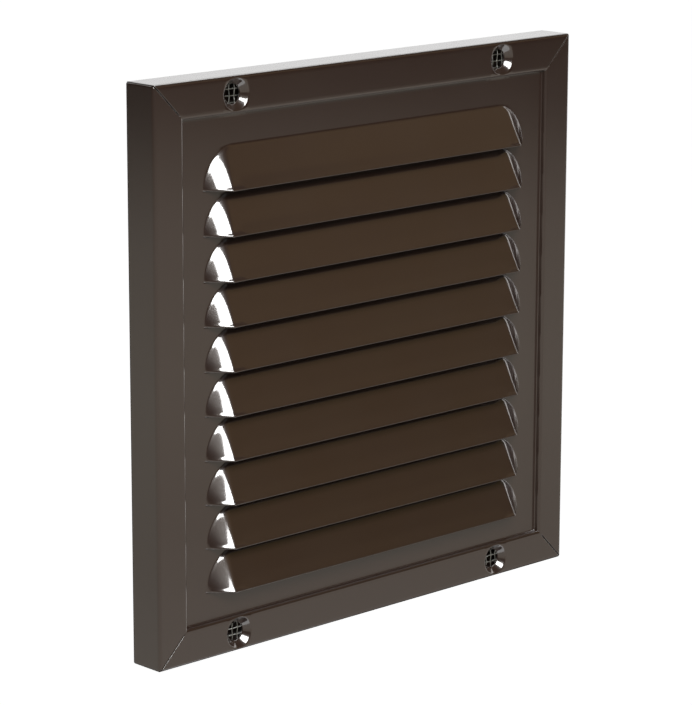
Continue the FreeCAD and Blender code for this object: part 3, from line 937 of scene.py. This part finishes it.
def dark_cloth(name, first, last, reach, drop):
    """A black cloth on the floor, a sector between two radii, seen only in the gloss."""
    level = CLOTH_LIFT - drop
    material, _, shader = new_material(name)
    shader.inputs["Base Color"].default_value = (0.01, 0.01, 0.01, 1.0)
    shader.inputs["Roughness"].default_value = 1.0
    shader.inputs["Specular IOR Level"].default_value = 0.0
    only_in_gloss(name, turned(first, last, 49, reach, (level, level)), material)


def light_strip(first, last):
    """A narrow upright light at the right, seen only in the gloss."""
    away = 1.1
    material, _, shader = new_material("light_strip")
    shader.inputs["Emission Color"].default_value = (1.0, 0.95, 0.92, 1.0)
    shader.inputs["Emission Strength"].default_value = 1.3
    only_in_gloss("light_strip", turned(first, last, 2, (away, away), (-0.45, 0.7)), material)


def only_in_gloss(name, points, material):
    """A grid of the studio that the camera and the plain light don't meet."""
    faces = grid_faces(*points.shape[:2]).tolist()
    wall = placed_mesh(name, points.reshape(-1, 3).tolist(), faces, material)
    wall.visible_camera = False
    wall.visible_diffuse = False
    wall.visible_transmission = False
    wall.visible_shadow = False


def seen_share(tree):
    """A socket that is one for camera, glossy and transmitted rays, else zero."""
    path = tree.nodes.new("ShaderNodeLightPath")
    share = path.outputs["Is Camera Ray"]
    for kind in ("Is Glossy Ray", "Is Transmission Ray"):
        greater = tree.nodes.new("ShaderNodeMath")
        greater.operation = "MAXIMUM"
        tree.links.new(share, greater.inputs[0])
        tree.links.new(path.outputs[kind], greater.inputs[1])
        share = greater.outputs[0]
    return share


def pale_floor():
    """White floor: a matt white that takes shadows, over a glow that only seen rays meet."""
    material, tree, surface = bare_material("pale_floor")
    matt = tree.nodes.new("ShaderNodeBsdfDiffuse")
    matt.inputs["Color"].default_value = (0.8, 0.8, 0.8, 1.0)
    glow = tree.nodes.new("ShaderNodeEmission")
    both = tree.nodes.new("ShaderNodeAddShader")
    coordinates = tree.nodes.new("ShaderNodeTexCoord")
    away = tree.nodes.new("ShaderNodeVectorMath")
    away.operation = "LENGTH"
    far = carried(tree, away.outputs["Value"], (0.5, 2.0), (0.62, 0.87))
    far.interpolation_type = "SMOOTHSTEP"
    level = tree.nodes.new("ShaderNodeMath")
    level.operation = "MULTIPLY"
    tree.links.new(coordinates.outputs["Object"], away.inputs[0])
    tree.links.new(far.outputs["Result"], level.inputs[1])
    tree.links.new(seen_share(tree), level.inputs[0])
    tree.links.new(level.outputs[0], glow.inputs["Strength"])
    tree.links.new(matt.outputs[0], both.inputs[0])
    tree.links.new(glow.outputs[0], both.inputs[1])
    tree.links.new(both.outputs[0], surface)
    return material


def white_world(scene, fill):
    """White where it is seen, and a plain soft fill where it lights."""
    world = bpy.data.worlds.new("studio")
    scene.world = world
    world.use_nodes = True
    tree = world.node_tree
    background = tree.nodes["Background"]
    background.inputs["Color"].default_value = (1.0, 1.0, 1.0, 1.0)
    level = carried(tree, seen_share(tree), (0.0, 1.0), (fill, 1.0))
    tree.links.new(level.outputs["Result"], background.inputs["Strength"])


class GRILLE_OT_studio(bpy.types.Operator):
    """Set up the pale floor, the lamps, the dark room and the camera"""

    bl_idname = "grille.studio"
    bl_label = "Studio"

    def execute(self, context):
        scene = context.scene
        settings = scene.grille_studio
        scene.view_settings.view_transform = "Standard"
        white_world(scene, settings.fill)
        drop = settings.floor_drop
        wide = 8.0
        corners = [(-wide, -wide, -drop), (wide, -wide, -drop), (wide, wide, -drop), (-wide, wide, -drop)]
        placed_mesh("floor", corners, [(0, 1, 2, 3)], pale_floor())
        area_lamp("softbox", toward(-37, 18, 1.15), toward(-3, 28, 1.15), tall=0.42, power=settings.softbox)
        area_lamp("back_lamp", toward(160, 40, 1.6), toward(112, 40, 1.6), tall=0.7, power=settings.back)
        dark_room(-152.0, 110.0, drop)
        light_strip(73.0, 83.0)
        dark_cloth("cloth_below", 0.0, 360.0, (0.0, 0.2), drop)
        dark_cloth("cloth_right", 75.0, 205.0, (0.2, 6.0), drop)
        self.photo_camera(scene, settings)
        return {"FINISHED"}

    def photo_camera(self, scene, settings):
        """The photograph's camera, found from the corners of the grille."""
        place = Vector((-0.56493, -0.59115, 0.18304))
        yaw, pitch, roll = math.radians(43.72), math.radians(12.96), math.radians(0.14)
        ahead = Vector((math.sin(yaw) * math.cos(pitch), math.cos(yaw) * math.cos(pitch),
                        -math.sin(pitch)))
        right = Vector((math.cos(yaw), -math.sin(yaw), 0.0))
        up = right.cross(ahead)
        tilted = right * math.cos(roll) + up * math.sin(roll)
        matrix = Matrix((tilted, tilted.cross(ahead), -ahead)).transposed().to_4x4()
        matrix.translation = place
        camera = bpy.data.cameras.new("camera")
        camera.lens = settings.lens
        camera.sensor_width = 36.0
        camera.clip_start = 0.01
        holder = bpy.data.objects.new("camera", camera)
        holder.matrix_world = matrix
        scene.collection.objects.link(holder)
        scene.camera = holder


class GRILLE_PT_sidebar(bpy.types.Panel):
    """The grille's sizes, colours and buttons"""

    bl_idname = "GRILLE_PT_sidebar"
    bl_label = "Ventilation grille"
    bl_space_type = "VIEW_3D"
    bl_region_type = "UI"
    bl_category = "Grille"

    def draw(self, context):
        for name, (label, _) in GROUPS.items():
            group = getattr(context.scene, name)
            box = self.layout.box()
            box.label(text=label)
            for key in group.__annotations__:
                box.prop(group, key)
        for operator in OPERATORS:
            self.layout.operator(operator.bl_idname)


GROUPS = {
    "grille_sheet": ("Folded sheet", SheetSizes),
    "grille_louvre": ("Louvres", LouvreSizes),
    "grille_holes": ("Screw holes", HoleSizes),
    "grille_wires": ("Fly mesh", WireSizes),
    "grille_finishes": ("Finishes", Finishes),
    "grille_studio": ("Studio", StudioSettings),
}
OPERATORS = (GRILLE_OT_cover, GRILLE_OT_fly_mesh, GRILLE_OT_studio)


def register():
    """Make the sizes, the buttons and the panel known."""
    for name, (_, group) in GROUPS.items():
        bpy.utils.register_class(group)
        setattr(bpy.types.Scene, name, bpy.props.PointerProperty(type=group))
    for operator in OPERATORS:
        bpy.utils.register_class(operator)
    bpy.utils.register_class(GRILLE_PT_sidebar)


def unregister():
    """Take the panel, the buttons and the sizes away again."""
    bpy.utils.unregister_class(GRILLE_PT_sidebar)
    for operator in reversed(OPERATORS):
        bpy.utils.unregister_class(operator)
    for name, (_, group) in reversed(GROUPS.items()):
        delattr(bpy.types.Scene, name)
        bpy.utils.unregister_class(group)


def main():
    """Build everything."""
    register()
    bpy.ops.grille.cover()
    bpy.ops.grille.fly_mesh()
    bpy.ops.grille.studio()


if __name__ == "__main__":
    main()
